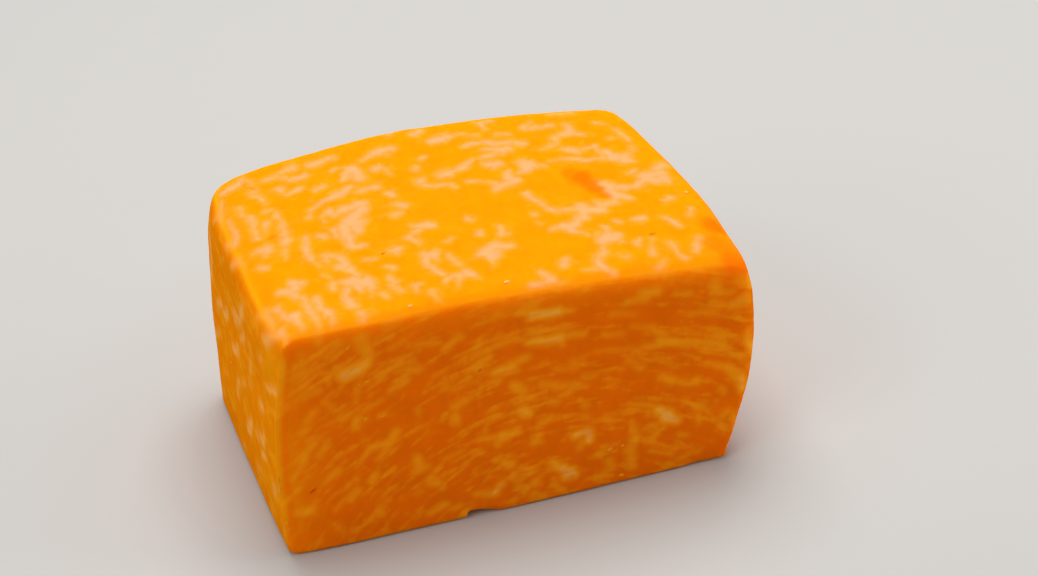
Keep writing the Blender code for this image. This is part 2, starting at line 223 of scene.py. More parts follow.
# Pale curds cut open on the top, as strokes: x and y of the start and of the end, and the half
# width at each.
TOP_CURDS = (
    (-53, -1, -53, -5.5, 1.1, 0.7), (-48.5, -1.5, -46, -3, 1.3, 1.2),
    (-46, -1, -46.5, -4, 1.2, 0.8), (-49, -7.5, -48.2, -8.5, 1.0, 0.8),
    (-41.5, 0, -42, -2, 1.0, 0.8), (-42.5, -4, -43.5, -7, 0.7, 0.4),
    (-37.5, -1, -38.5, -7, 1.1, 1.1), (-38.5, -7, -36.8, -13, 1.0, 0.3),
    (-34, -1.5, -33.5, -2.5, 0.9, 0.8), (-31, -1, -30.5, -3, 1.2, 1.0),
    (-28.5, 0, -28.5, -8, 1.7, 1.4), (-28.5, -8, -26, -8, 1.1, 0.8), (-26, -1, -26, -3, 1.7, 1.2),
    (-34.5, -9, -34.5, -11.5, 1.1, 0.8), (-34, -9.3, -32, -10.5, 0.9, 0.9),
    (-32, -11, -31.5, -14, 1.1, 1.2), (-33.2, -14.5, -31.5, -14.5, 1.1, 1.0),
    (-36.2, -16, -35.7, -17.5, 0.7, 0.6), (-31, -16, -30, -18.5, 1.3, 0.9),
    (-33, -20.5, -28.5, -22, 1.5, 2.0), (-31.5, -20, -30.5, -23.5, 1.6, 1.5),
    (-28.5, -21, -28, -24, 1.5, 1.0), (-33.5, -23, -34.5, -26, 1.0, 1.1),
    (-34.5, -26, -34, -29, 1.3, 1.3), (-34, -28.5, -32.5, -29.5, 1.2, 0.7),
    (-28.5, -24.5, -29, -27.5, 0.7, 0.3), (-32, -32, -32.8, -34, 1.3, 0.8),
    (-26.5, -14, -25, -14.5, 0.8, 0.7), (-21, -12.8, -19.5, -12.5, 1.0, 1.4),
    (-20, -12, -19.8, -14, 0.9, 0.9), (-23, -18, -22.3, -19.2, 0.9, 1.0),
    (-23.5, -21.5, -23, -24, 0.6, 1.1), (-24, -24.5, -22.5, -27, 1.0, 0.9),
    (-26.5, -27, -25.5, -29, 0.9, 0.5), (-18.5, -26.5, -19, -28.5, 1.0, 0.7),
    (-43.5, -16.5, -44, -18.5, 1.7, 1.5), (-42.2, -16.8, -42, -17.5, 1.3, 1.0),
    (-47, -18.7, -44.5, -20, 1.0, 1.4), (-44.8, -20, -44.5, -22.5, 1.5, 0.8),
    (-36, -20, -36.3, -22.5, 0.8, 0.7), (-51, -22, -51.2, -28, 0.7, 1.1),
    (-48.7, -23.5, -48.5, -25, 1.0, 0.7), (-48.5, -25, -47.5, -29, 0.7, 1.0),
    (-46, -28.5, -45.5, -33, 1.6, 1.0), (-43, -23, -42.5, -29, 1.0, 1.0),
    (-40.5, -24, -39.5, -30, 1.1, 1.3), (-42, -29, -42, -34, 0.9, 0.5),
    (-38.7, -29.5, -39, -34, 0.7, 0.5), (-50.1, -31, -50.4, -35.5, 1.3, 1.6),
    (-17, 0, -15.5, 0.5, 1.1, 1.0), (-14, -5, -10, -6, 0.9, 1.4), (-10.5, -5.5, -9.5, -7, 1.2, 0.7),
    (-13, -6.5, -16.5, -9.5, 0.8, 0.8), (-16, -9.5, -14.5, -11.3, 0.7, 0.9),
    (-1.3, -6.3, -0.8, -6.8, 1.1, 0.9), (-0.5, -11.5, -0.8, -12.8, 0.8, 0.7),
    (4.2, -10.8, 4.3, -13, 0.7, 1.0), (3.8, -14, 5.5, -14, 0.9, 0.5),
    (-7, -12, -8.5, -13.5, 0.5, 0.5), (-14.5, -16, -12, -16.5, 1.1, 1.3),
    (-14.3, -16.5, -14.8, -21, 1.5, 1.1), (-14.8, -21, -13.5, -23, 1.1, 0.9),
    (-12.5, -17, -12.8, -19, 1.2, 0.8), (-13, -23.3, -12, -24.5, 0.9, 0.7),
    (-9.3, -18, -8, -21.5, 0.7, 1.1), (-8.2, -21, -8, -22.5, 1.0, 0.5),
    (-11.5, -26, -12.5, -27, 0.9, 0.6), (-11, -25.5, -8, -26, 0.7, 0.8),
    (-7.5, -24.8, -6.5, -26.5, 1.0, 1.2), (-6.3, -26.5, -5.5, -28, 0.9, 0.5),
    (-9.5, -26.5, -10.5, -30, 0.8, 0.4), (-16.3, -30, -15.8, -32.5, 0.9, 0.6),
    (1.2, -17.5, -1.5, -19.5, 1.6, 1.8), (1.2, -17.5, 4.5, -18.5, 1.5, 1.1),
    (-0.5, -20, -0.8, -24, 1.9, 0.6), (-3, -20, -2.4, -19.6, 1.0, 1.0),
    (1.5, -19.5, 0.5, -21.5, 1.3, 1.0), (14.5, -26.5, 13, -28.5, 1.2, 0.7),
    (8.5, -30, 9.5, -32.5, 1.0, 1.3), (9, -33, 5, -33.3, 1.0, 1.1), (9.5, -33, 12, -33.5, 0.7, 0.4),
    (13, -8.1, 13, -8.6, 0.9, 0.8), (13, -12, 12.8, -12.8, 0.7, 0.5),
    (13.5, -0.5, 14.8, -3.2, 1.2, 0.9), (15.3, -3.5, 16, -6, 0.7, 0.8),
    (16, -6, 18, -8.5, 0.8, 0.9), (18, -8, 20, -8.5, 0.9, 0.9), (20, -8.5, 24, -8.5, 0.8, 1.3),
    (24, -8, 24, -11, 1.6, 1.6), (24.5, -9.5, 28, -10, 1.6, 1.6), (28, -7.5, 29, -9, 1.3, 1.4),
    (29, -8.5, 32, -7.5, 1.2, 1.3), (32, -1, 33, -5.5, 1.7, 1.9), (33.5, -5, 35.5, -7, 1.6, 1.1),
    (30.5, 0, 33, -1.5, 1.3, 1.6), (34.5, -2.5, 38.5, -2.8, 1.5, 1.2),
    (38.5, -2.5, 41, -1, 1.1, 1.3), (41.5, -0.5, 46, -1.5, 1.7, 1.6),
    (22.5, -12, 19.5, -15, 1.3, 1.6), (24, -11.5, 22, -13.5, 1.3, 1.0),
    (19, -14.8, 14.8, -14.8, 1.4, 0.8), (19, -16, 22, -18.5, 1.3, 0.7),
    (26.5, -16.5, 26.5, -19, 0.8, 0.9), (24.3, -18.5, 24, -22, 0.7, 1.0),
    (25, -21, 28, -21, 1.8, 1.6), (28.5, -20, 28.5, -22.5, 1.1, 0.8),
    (24.2, -23, 23.7, -25, 0.6, 0.8), (23.5, -25.5, 22.5, -26.5, 0.9, 0.9),
    (21.5, -27, 21.5, -30, 1.0, 1.5), (21.5, -30, 23.5, -33.5, 1.5, 0.9),
    (20, -31, 18, -31, 0.9, 0.6), (26, -27, 28, -28.5, 0.5, 0.8), (29.5, -15, 30, -15.8, 0.8, 0.7),
    (34, -15.5, 36.3, -15, 0.8, 0.8), (40.8, -16, 43, -19, 0.9, 1.0),
    (44.8, -8.8, 43.5, -9.5, 0.9, 0.7), (47.7, -13.5, 46.8, -16.5, 0.7, 0.5),
    (33, -22.5, 31.8, -24.5, 0.8, 0.9), (35.8, -23, 34.3, -26.5, 0.5, 0.7),
    (34.3, -26.5, 34, -29, 0.7, 0.9), (39, -25, 39.2, -29, 0.8, 0.8),
    (39.2, -29, 40.5, -31, 0.7, 0.6), (45.8, -24.5, 43.5, -28.5, 1.0, 1.3),
    (35.8, -31, 33.5, -33.2, 0.5, 0.8), (-50.5, 25.5, -47, 26, 1.3, 1.5),
    (-46.5, 26, -45.5, 28, 1.2, 0.7), (-44.5, 26.5, -44, 24.5, 0.9, 0.8),
    (-51.5, 29.5, -49.5, 31, 0.9, 0.7), (-41.5, 24.5, -38, 25, 0.7, 1.0),
    (-38, 25, -36.5, 23.5, 1.0, 0.8), (-37, 26, -34, 27, 0.8, 1.5), (-30, 26, -25, 27.3, 1.3, 1.3),
    (-35, 22, -32, 22.7, 1.1, 1.3), (-38.8, 19.5, -38.5, 18, 1.5, 0.9),
    (-37.5, 16.8, -34.5, 17.8, 0.7, 1.1), (-31, 16, -29, 16.7, 0.9, 1.0),
    (-25.7, 21.8, -24.8, 22.2, 0.6, 0.6), (-44.8, 21.2, -44.2, 21.5, 1.0, 0.9),
    (-45, 20, -43, 19, 0.6, 0.5), (-52, 22, -53, 17, 0.8, 0.9), (-53, 17, -54, 14, 0.8, 0.5),
    (-49, 17, -48.2, 13, 0.8, 0.7), (-51.5, 14, -51.5, 6, 0.7, 1.0), (-51.5, 6, -52.5, 4, 1.0, 0.8),
    (-43, 18, -43, 15.5, 0.7, 0.5), (-43.5, 12, -42.2, 12.3, 0.9, 0.8),
    (-47.2, 11.5, -47.3, 3, 1.0, 0.8), (-44.3, 8, -45, 4, 0.8, 0.6),
    (-41.3, 11, -41.3, 4, 0.7, 0.9), (-41.3, 4, -41, 0, 1.0, 1.2), (-35, 5.5, -34, 9, 0.5, 0.6),
    (-34, 9, -30, 11, 0.7, 0.8), (-30, 11, -26, 12.5, 0.9, 1.3), (-26, 12.5, -23.5, 14, 1.2, 0.9),
    (-22.5, 11.8, -18, 12.3, 0.8, 1.3), (-24.5, 17.2, -22.5, 20.2, 0.9, 1.0),
    (-21.5, 20.5, -20.5, 16.5, 1.9, 1.6), (-30.5, 6.8, -30.2, 6.3, 1.3, 1.2),
    (-32, 6, -32, 3, 0.6, 0.5), (-29, 5, -27, 6.5, 1.0, 1.2), (-27, 6, -22.5, 7, 1.5, 1.4),
    (-23, 5, -26, 2, 1.6, 2.0), (-27, 1, -24.5, 0.5, 2.0, 1.8), (-15, 25.5, -11, 25.8, 1.3, 1.3),
    (-14, 24.5, -12.5, 23.8, 1.0, 0.8), (-15, 24.5, -18.5, 23.3, 0.8, 0.9),
    (-16.5, 18.8, -15.5, 19, 1.3, 1.1), (-14.5, 18, -13.7, 16, 0.8, 0.5),
    (-5, 29.5, -3, 30.5, 0.9, 1.2), (-10.2, 31.3, -9, 32.5, 0.7, 0.5),
    (-1, 25.7, 2.5, 26.3, 1.5, 1.5), (0, 25, 2, 24.8, 1.2, 0.9), (4.5, 27, 6.5, 26, 0.6, 0.7),
    (6.5, 26, 9, 25, 0.7, 0.5), (10.5, 29.7, 14, 30, 0.7, 0.5), (11.5, 29, 11.8, 27, 1.1, 0.6),
    (5.5, 21.8, 9, 22, 1.2, 1.0), (10, 21.5, 13, 20.5, 0.9, 1.2), (13, 20.5, 18.8, 19.6, 1.2, 1.2),
    (13.5, 24, 16.5, 23.5, 0.8, 0.5), (9.5, 19, 13, 17.5, 1.0, 1.6), (14.5, 18, 15, 17, 1.3, 1.0),
    (11, 17, 8, 15.5, 1.0, 0.8), (-8, 16, -7.6, 16.3, 1.1, 1.0), (-5.5, 19.5, -5, 19.5, 0.7, 0.6),
    (-8, 11.3, -7.5, 12, 1.5, 1.3), (-8, 9.5, -3.3, 8.3, 0.9, 0.9), (-2, 8, -1.5, 6.8, 1.0, 0.9),
    (-2.5, 12.2, -1, 12, 1.4, 1.3), (-1, 12.5, 3, 13.5, 1.2, 1.2), (3, 14, 5.5, 16, 1.0, 0.6),
    (8, 13, 10.5, 12.7, 1.2, 1.5), (9.5, 12, 9.5, 11, 1.0, 0.7), (-15.5, 9, -15, 8, 1.3, 1.0),
    (-15.5, 4, -14, 2.7, 1.1, 1.3), (2.5, 7.8, 5, 7, 0.7, 0.6), (5.5, 6.3, 8, 5.3, 0.7, 1.0),
    (8, 3.5, 7.3, 2.8, 1.5, 1.1), (8.5, 4, 12.5, 5, 1.4, 1.6), (11.5, 6, 11.8, 9, 1.5, 1.1),
    (16, 12, 16.5, 9.5, 1.5, 1.9), (17.5, 11, 18.5, 9.5, 1.4, 1.2), (15.5, 8.7, 14.2, 8, 0.9, 0.5),
    (20.5, 25.5, 22.5, 27.5, 0.8, 0.6), (21, 25, 27, 24.6, 0.8, 1.0), (28, 29.5, 33, 29, 0.6, 0.9),
    (30.5, 24, 30.5, 21.5, 0.9, 1.3), (31, 20.8, 27.5, 20.5, 1.3, 1.0),
    (26, 20, 25.5, 17.5, 1.0, 0.8), (25, 17, 22, 16, 1.0, 0.7), (31.5, 20, 33, 19.5, 0.9, 0.7),
    (26.5, 15, 30, 13.3, 0.9, 1.0), (30, 13.3, 34.5, 14.5, 0.7, 0.9),
    (34.5, 14.5, 34.7, 10.5, 0.8, 0.9), (22.5, 11, 27, 10.8, 0.5, 0.8),
    (27, 10.8, 31, 9.3, 0.9, 0.9), (31, 9.3, 35, 9.5, 0.8, 1.0), (36.3, 12, 36.5, 9.5, 1.3, 1.4),
    (36.5, 9.5, 40, 9, 1.5, 1.7), (39, 8, 41, 7, 1.6, 0.9), (20, 9.5, 21, 9, 0.8, 0.6),
    (37, 23.5, 39.5, 22.5, 0.5, 0.5), (41, 20.3, 42.5, 17, 0.9, 0.9),
    (42.5, 17, 42.5, 15, 0.9, 0.6), (38.9, 17, 39.2, 17, 0.6, 0.6), (42.8, 12.5, 42, 11, 0.8, 0.6),
    (45, 3, 47.5, 5, 1.3, 1.3), (47.5, 5, 48.8, 6, 0.9, 0.6), (41.5, 1, 45.5, 1, 1.6, 1.8),
    (38.5, 2.5, 40.5, 3.3, 0.8, 0.6),
)

# Pale curd dragged over the front by the wire, as strokes: x and z of the start and of the end,
# the half width at each, and the paleness.
FRONT_SMEARS = (
    # The second stroke, at the top of the front's left edge, is partly painted light: a paler band
    # where the rounded edge catches the left lamp.
    (-53.2, 46.6, -53.2, 45.8, 1.1, 1.0, 1.0), (-52.5, 54, -52, 51, 1.6, 1.4, 0.55),
    (-50, 47.5, -47, 48.5, 0.9, 1.0, 0.5), (-47, 48.5, -46.8, 52.5, 0.7, 0.7, 0.5),
    (-33.5, 54, -33, 51, 1.4, 1.8, 0.6), (-32.5, 50, -33.5, 47.5, 1.4, 1.5, 0.65),
    (-33.5, 47.5, -37.5, 46, 1.7, 2.0, 0.7), (-42.5, 47.5, -40, 46.5, 0.8, 0.8, 0.5),
    (-43, 55.5, -42.5, 57.5, 1.1, 1.2, 0.5), (-41.5, 51.5, -38.5, 54, 0.7, 0.9, 0.5),
    (-28, 56, -25, 56.5, 1.0, 1.0, 0.45), (-28, 50, -24.5, 51.5, 0.5, 0.5, 0.45),
    (-29.5, 44.5, -23, 45.5, 0.5, 0.7, 0.5), (-27, 44, -22, 43.5, 0.6, 1.0, 0.55),
    (-28.5, 39.5, -25, 42, 0.7, 1.0, 0.6), (-35, 43, -36.5, 38.5, 0.6, 0.6, 0.55),
    (-33.7, 43.3, -33.2, 43.4, 0.5, 0.5, 0.6), (-47, 42, -44, 43.5, 0.9, 0.8, 0.5),
    (-43, 40, -41, 37, 0.7, 0.7, 0.45), (-30.5, 38, -35, 35.5, 0.5, 0.5, 0.5),
    (-36.5, 34, -36.5, 32, 1.2, 1.0, 0.55), (-34.8, 33.4, -34.5, 33.6, 0.5, 0.5, 0.65),
    (-31.3, 33.5, -30.6, 33.7, 0.6, 0.6, 0.65), (-22.8, 33, -22.8, 32, 0.7, 0.6, 0.5),
    (-48.5, 33, -47.5, 34, 0.9, 0.8, 0.5), (-45, 38, -47, 35.5, 0.6, 0.6, 0.5),
    (-47, 30.5, -45.5, 31, 1.0, 0.9, 0.5), (2, 53.5, 5, 53.5, 1.0, 1.3, 0.5),
    (1, 52.5, 4, 51.3, 0.9, 1.0, 0.6), (4, 50.9, 10, 50.2, 1.5, 1.5, 0.8),
    (10, 50.5, 13, 49.8, 1.0, 0.5, 0.7), (4.5, 55, 3.5, 57, 0.9, 0.8, 0.4),
    (-8, 51.5, -4.5, 52, 0.6, 0.6, 0.4), (-16, 47, -12.5, 49.5, 0.9, 0.9, 0.5),
    (-20, 49.5, -17, 49, 0.5, 0.5, 0.5), (-5, 45.5, 0, 46.5, 0.8, 1.0, 0.5),
    (0, 45.7, 5, 45, 0.8, 0.7, 0.5), (3, 44.2, 10, 43.5, 1.0, 1.4, 0.76),
    (10, 43, 10.5, 42, 1.1, 0.6, 0.6), (12, 43.8, 15.5, 43.5, 0.8, 0.7, 0.6),
    (-10, 44.2, -9, 44.2, 0.8, 0.8, 0.4), (-9, 39.3, -5, 38.8, 0.5, 1.0, 0.45),
    (-5, 38.5, -1, 38.5, 1.2, 1.3, 0.7), (-1.5, 40, 2, 40.5, 0.9, 0.9, 0.5),
    (-16, 39.5, -16, 37, 0.7, 0.9, 0.4), (-15, 36.5, -9, 37.3, 0.7, 0.6, 0.4),
    (-15, 31.5, -12, 33, 0.9, 0.8, 0.5), (-15, 29.5, -14.5, 27.8, 1.0, 1.1, 0.5),
    (-1, 34, 0.5, 32, 1.4, 1.5, 0.55), (5.5, 33, 8.5, 31.5, 0.8, 1.0, 0.5),
    (8, 31, 12.5, 31.3, 0.9, 0.7, 0.5), (8.5, 35.7, 13, 34.8, 0.6, 0.6, 0.4),
    (12, 37, 15, 37, 0.7, 0.7, 0.4), (15, 32, 17.5, 31.8, 0.8, 0.7, 0.45),
    (25.5, 49, 30, 49, 0.8, 1.0, 0.55), (29.5, 50.5, 32.5, 50, 1.2, 1.1, 0.7),
    (37, 48.3, 40, 47.3, 0.8, 0.7, 0.5), (22, 46.8, 27.5, 45.5, 0.7, 0.5, 0.4),
    (20, 42.2, 24, 41, 0.9, 0.6, 0.45), (27, 42.3, 31, 41, 0.7, 0.8, 0.45),
    (31, 40.5, 34, 38.5, 0.8, 1.0, 0.5), (33, 37, 36, 36, 1.3, 1.2, 0.6),
    (29, 36.5, 33, 35.8, 0.8, 0.8, 0.5), (36, 35.5, 39.5, 34, 1.0, 1.1, 0.5),
    (18, 38, 27, 36.7, 0.5, 0.5, 0.4), (46, 48.5, 46.5, 46.5, 1.6, 1.2, 0.55),
    (45.5, 46, 50.5, 45.3, 0.9, 0.8, 0.5), (45.5, 43.5, 48, 42.5, 1.3, 1.2, 0.55),
    (40, 42.3, 46, 41, 0.6, 0.8, 0.45), (45.5, 41, 48, 39.5, 0.6, 0.5, 0.4),
    (50, 41.5, 54, 42, 1.2, 1.8, 0.7), (38.5, 38.5, 42, 36, 0.6, 0.7, 0.4),
    (25.5, 33.5, 28.5, 31, 0.8, 1.0, 0.5), (45.6, 32.5, 46.4, 32.4, 0.8, 0.7, 0.45),
    (54, 33, 54.5, 28, 1.4, 1.4, 0.7), (-46.5, 29.5, -49, 25.5, 0.7, 0.9, 0.55),
    (-49, 25, -51.5, 21, 0.6, 0.5, 0.55), (-43.5, 28.5, -45.5, 26, 0.8, 0.7, 0.5),
    (-28, 28.5, -29.5, 26, 1.0, 1.0, 0.6), (-30, 26, -34, 25.3, 1.0, 1.0, 0.65),
    (-34.5, 24.5, -37.5, 21.5, 0.7, 0.5, 0.55), (-30, 25, -32.5, 22, 0.7, 0.4, 0.6),
    (-41.5, 21, -44.5, 18.5, 1.0, 0.6, 0.6), (-33.5, 18, -34.5, 16.5, 1.1, 1.0, 0.65),
    (-24, 20.5, -23.5, 18, 1.0, 1.0, 0.6), (-24.5, 16.8, -22, 17.5, 0.9, 0.9, 0.6),
    (-38, 14.5, -39.5, 12.7, 0.9, 0.8, 0.6), (-40, 13.5, -43, 11, 0.5, 0.5, 0.5),
    (-21, 13.5, -20, 12.5, 1.5, 1.2, 0.6), (-51, 12, -48.5, 12, 1.0, 1.3, 0.6),
    (-22, 4, -18.5, 5.5, 0.9, 1.0, 0.6), (-43.5, 7, -42, 4.5, 0.6, 0.6, 0.45),
    (-8.5, 23.1, -8.3, 23.8, 0.8, 0.7, 0.45), (-9.5, 21.5, -6, 20.8, 0.8, 1.1, 0.5),
    (-5.5, 20, -5.5, 19.3, 1.2, 0.8, 0.6), (-4.5, 20.8, -1.5, 22, 1.1, 0.9, 0.7),
    (-17.5, 18.5, -14, 19.5, 0.7, 0.7, 0.4), (0.5, 27, 1.5, 25.5, 1.7, 1.4, 0.7),
    (7, 27.8, 8.5, 27, 1.0, 1.0, 0.55), (5, 22.5, 6.5, 23, 1.2, 1.0, 0.5),
    (14, 21.3, 15, 21.2, 0.8, 0.7, 0.5), (15, 24.8, 15.2, 24, 1.0, 0.8, 0.45),
    (3, 17.5, 3.8, 17.5, 1.2, 1.1, 0.5), (12.5, 16.8, 14.5, 17, 1.1, 1.6, 0.8),
    (15, 17, 15.5, 15, 1.6, 1.3, 0.9), (13.5, 14.5, 13, 13, 0.8, 0.7, 0.45),
    (-4.5, 13.8, -3, 12.5, 1.1, 1.4, 0.6), (6.5, 10.5, 8.5, 8.5, 1.0, 1.4, 0.7),
    (9, 8, 10.5, 6, 1.5, 1.6, 0.85), (11, 7, 12, 5.5, 1.3, 1.0, 0.85),
    (-11, 6.5, -7.5, 6, 0.8, 1.1, 0.75), (-7, 6, -5, 7.5, 1.2, 0.9, 0.85),
    (2.5, 6, 3.5, 5.3, 1.1, 0.9, 0.6), (2.5, 3, 1.5, 2.5, 1.0, 0.7, 0.5),
    (33, 27, 35.5, 25.5, 1.0, 1.3, 0.6), (35.5, 25.5, 40, 23.5, 0.6, 0.9, 0.5),
    (40.5, 23.8, 41.4, 23.6, 1.1, 1.0, 0.6), (43.5, 28, 48.5, 25.5, 0.7, 0.9, 0.5),
    (48.5, 25.5, 51.5, 22, 1.0, 1.8, 0.6), (52, 21.5, 52.5, 18, 1.3, 1.2, 0.8),
    (46.5, 20, 48, 18.5, 0.7, 0.7, 0.5), (26, 21.5, 31, 19.5, 0.6, 0.8, 0.5),
    (31.5, 18.5, 34, 16.5, 1.1, 1.8, 0.8), (33.8, 16.2, 36, 14.4, 1.9, 1.4, 0.86),
    (33, 13, 30.5, 11, 0.7, 0.8, 0.55), (41.5, 14, 41.5, 12, 0.7, 0.6, 0.5),
    (37, 10, 38, 9.5, 0.9, 0.9, 0.45), (36.5, 8, 35.5, 6, 0.6, 0.7, 0.4),
    (47.5, 12, 49, 13, 1.0, 1.0, 0.5), (50, 12, 50.5, 8, 0.8, 0.8, 0.5),
    (25.5, 16.5, 26.5, 12, 0.7, 1.2, 0.6), (26.5, 12, 25, 9, 1.2, 1.4, 0.65),
    (25.5, 8, 25.5, 4, 1.0, 0.8, 0.6), (20, 7.5, 20.5, 5, 0.7, 1.2, 0.55),
    (19, 4.5, 17.5, 3.5, 0.9, 0.8, 0.45), (36, 2.5, 39, 4, 0.5, 0.9, 0.5),
    (39, 4, 42, 4, 0.9, 0.6, 0.5), (-38.4, 45.3, -34.8, 46.2, 1.4, 1.5, 0.82),
    (-27, 40.9, -25, 41.4, 0.7, 0.8, 0.8),
)

# Soft pale places on the left end, as strokes: y and z of the start and of the end, the half
# width at each, and the paleness.
LEFT_SMEARS = (
    (-31, 56, -27, 54, 1.4, 1.2, 1), (-24, 57, -21, 55, 1.1, 1.0, 0.7),
    (-1, 57, 1, 55, 1.1, 1.1, 0.96), (5, 58, 7, 56, 1.1, 1.0, 0.96),
    (17, 58, 20, 55.5, 1.2, 1.1, 0.96), (-33.5, 44, -29.5, 42, 1.5, 1.2, 1),
    (-9.5, 49.5, -6, 46, 1.6, 1.6, 1), (-5, 44, 2.5, 40.5, 1.2, 1.7, 0.96),
    (-9, 42.5, -3, 38, 1.1, 1.2, 0.83), (-25.5, 47, -23.5, 46, 1.3, 1.3, 0.64),
    (-17, 43.5, -14, 43, 1.4, 1.2, 0.57), (-15, 39, -12, 35, 1.4, 1.2, 0.7),
    (-24.5, 34, -22.5, 33, 1.8, 1.7, 0.83), (0, 33, 4, 31, 1.7, 1.6, 1),
    (10, 36, 13, 34, 1.3, 1.3, 1), (17, 35, 20, 32, 1.8, 1.7, 1), (24, 48, 25, 37, 1.5, 1.7, 0.83),
    (-13.5, 32.5, -10, 31, 1.2, 1.1, 0.57), (-7, 28.5, -3, 26, 1.1, 1.1, 0.64),
    (-24.5, 26, -21, 22.5, 1.5, 1.5, 1), (-18, 22, -16, 21, 1.4, 1.3, 0.7),
    (-24, 20, -20, 17, 1.3, 1.4, 0.83), (-10, 20, -5.5, 15.5, 1.8, 1.7, 0.96),
    (0, 24, 4, 18.5, 1.4, 1.5, 0.7), (20, 25, 28, 19, 1.1, 1.2, 0.7),
    (14, 18.5, 18, 16, 1.0, 1.0, 0.57), (-31, 17, -28, 13, 1.1, 1.1, 0.7),
    (-17, 12, -10, 7, 1.3, 1.4, 0.57), (-33, 6, -31, 4, 0.9, 1.0, 0.57),
    (2, 5, 6, 1, 1.4, 1.4, 0.51), (21, 8, 26, 4, 1.2, 1.2, 0.44), (8, 52, 12, 50, 1.1, 1.1, 0.51),
    (6, 42, 10, 41, 1.2, 1.1, 0.51),
)

# Reddish places: x, y, z, radius, strength. The first five are blushes of the cheese's own on the top;
# the last four, round the front right top corner, are painted shade and shine-through light, a redder
# orange where the rounding turns from the lamps.
BLUSHES_AND_CORNER_SHADE = (
    (25.8, 5, 58.3, 2.6, 0.6), (27.4, 3.0, 58.1, 3.6, 0.9), (28.3, 0.6, 57.9, 3.0, 0.85),
    (29.0, -1.7, 57.6, 2.6, 0.8), (30.2, -4.4, 57.3, 2.0, 0.6), (51.3, -19.5, 53.3, 4.2, 0.9),
    (49.5, -26.5, 53.3, 4.5, 0.5), (52, -31.5, 51.2, 5.0, 0.7), (53.5, -26, 49, 5.0, 0.6),
)

# Small brown marks in the skin: the two ends, the half width and the strength.
MARKS = (
    # pits on the top
    ((-23.0, -13.0, 59.1), (-22.5, -12.8, 59.1), 0.5, 1.0),
    ((-22.4, -12.8, 59.1), (-21.7, -12.2, 59.2), 0.3, 0.5),
    ((-12.1, -12.8, 59.1), (-11.6, -12.7, 59.1), 0.4, 0.4),
    ((35.5, -21.5, 55.8), (36.7, -21.1, 55.6), 0.75, 0.8),
    ((-44.4, 1.9, 59.1), (-43.5, 2.5, 59.2), 1.4, 0.5),
    # a scuff in the back left corner
    ((-45.9, 27.4, 59.5), (-46.2, 25.7, 59.4), 0.55, 0.35),
    ((-46.2, 25.7, 59.4), (-45.6, 23.8, 59.5), 0.5, 0.5),
    ((-45.6, 23.8, 59.5), (-44.7, 23.6, 59.6), 0.45, 0.6),
    ((-44.7, 23.6, 59.6), (-44.1, 22.3, 59.6), 0.45, 0.55),
    ((-44.1, 22.3, 59.6), (-43.3, 22.3, 59.7), 0.4, 0.5),
    ((-45.8, 25.9, 59.5), (-44.4, 24.5, 59.6), 0.7, 0.3),
    ((-44.4, 24.5, 59.6), (-43.5, 24.2, 59.7), 0.4, 0.3),
    # faint lines on the top
    ((-40.1, 12.0, 59.8), (-39.1, 11.9, 59.8), 0.5, 0.3),
    ((4.9, 13.9, 60.4), (6.9, 15.3, 60.4), 0.35, 0.4),
    # a dot and a scratch on the front
    ((-8.9, -36.0, 39.8), (-8.2, -36.0, 40.1), 0.5, 0.65),
    ((-48.5, -35.5, 16.4), (-46.7, -35.5, 17.6), 0.42, 0.95),
    # the hidden sides
    ((-11, 33, 61), (-10, 33.6, 61), 0.4, 0.5), ((-5, 37, 33), (-4.4, 37, 33.3), 0.4, 0.7),
    ((28, 37, 14), (29.6, 37, 15), 0.35, 0.8), ((54, 12, 24), (54, 13, 23), 0.45, 0.6),
)

# Crumbs left by the wire: the two ends, the width, the height, and how pale each is.
CRUMBS = (
    ((-0.8, -31.4, 57.6), (0.6, -30.8, 57.7), 0.9, 0.7, 1.0),
    ((48.6, -7.2, 55.2), (49.4, -6.4, 54.9), 0.8, 0.45, 0.5),
    ((19.5, -35.3, 10.3), (20.7, -35.3, 10.9), 0.75, 0.5, 0.12),
    ((22.8, -35.1, 10.5), (23.6, -35.0, 10.9), 0.6, 0.4, 0.15),
    ((22.2, -34.9, 2.3), (23.5, -34.8, 2.2), 0.8, 0.5, 0.0),
    ((-34.8, -35.9, 33.0), (-34.2, -35.9, 34.0), 0.6, 0.35, 0.05),
    ((-31.3, -35.9, 33.2), (-29.9, -35.9, 33.5), 0.6, 0.4, 0.03),
    ((-35.3, -35.8, 42.5), (-34.8, -35.8, 42.7), 0.45, 0.35, 0.15),
    ((-34.0, -35.8, 42.8), (-32.9, -35.8, 43.4), 0.55, 0.4, 0.05),
    ((-37.3, -35.7, 52.3), (-36.5, -35.7, 52.8), 0.6, 0.35, 0.05),
    ((44.5, -34.4, 31.9), (45.2, -34.3, 32.3), 0.5, 0.35, 0.05),
    ((-22.5, -32.9, 57.8), (-21.4, -32.8, 57.9), 0.8, 0.4, 0.7),
    ((18, 37, 40), (18.7, 37, 40.4), 0.5, 0.4, 0.3), ((-25, 37, 22), (-24.7, 37, 22.8), 0.5, 0.35, 0.3),
    ((54, 6, 38), (54, 6.7, 38.3), 0.5, 0.35, 0.2), ((-56, 8, 24), (-56, 8.3, 24.6), 0.4, 0.3, 0.3),
    ((-54.7, -34.6, 20.6), (-54.7, -34.6, 22), 0.6, 0.4, 0.1),
    ((-54.6, -34.8, 17.6), (-54.6, -34.8, 19.4), 0.6, 0.4, 0.2),
    ((-54.1, -35.2, 8.9), (-54, -35.2, 10), 0.55, 0.35, 0.05),
    ((-53.8, -35.3, 7.1), (-53.7, -35.3, 8), 0.5, 0.35, 0.05),
)


def ramp(low, high, value):
    """0 at low and 1 at high, in a straight line between them and level beyond."""
    return np.clip((value - low) / (high - low), 0, 1)


def smoothstep(low, high, value):
    """A ramp with soft ends."""
    t = ramp(low, high, value)
    return t * t * (3 - 2 * t)


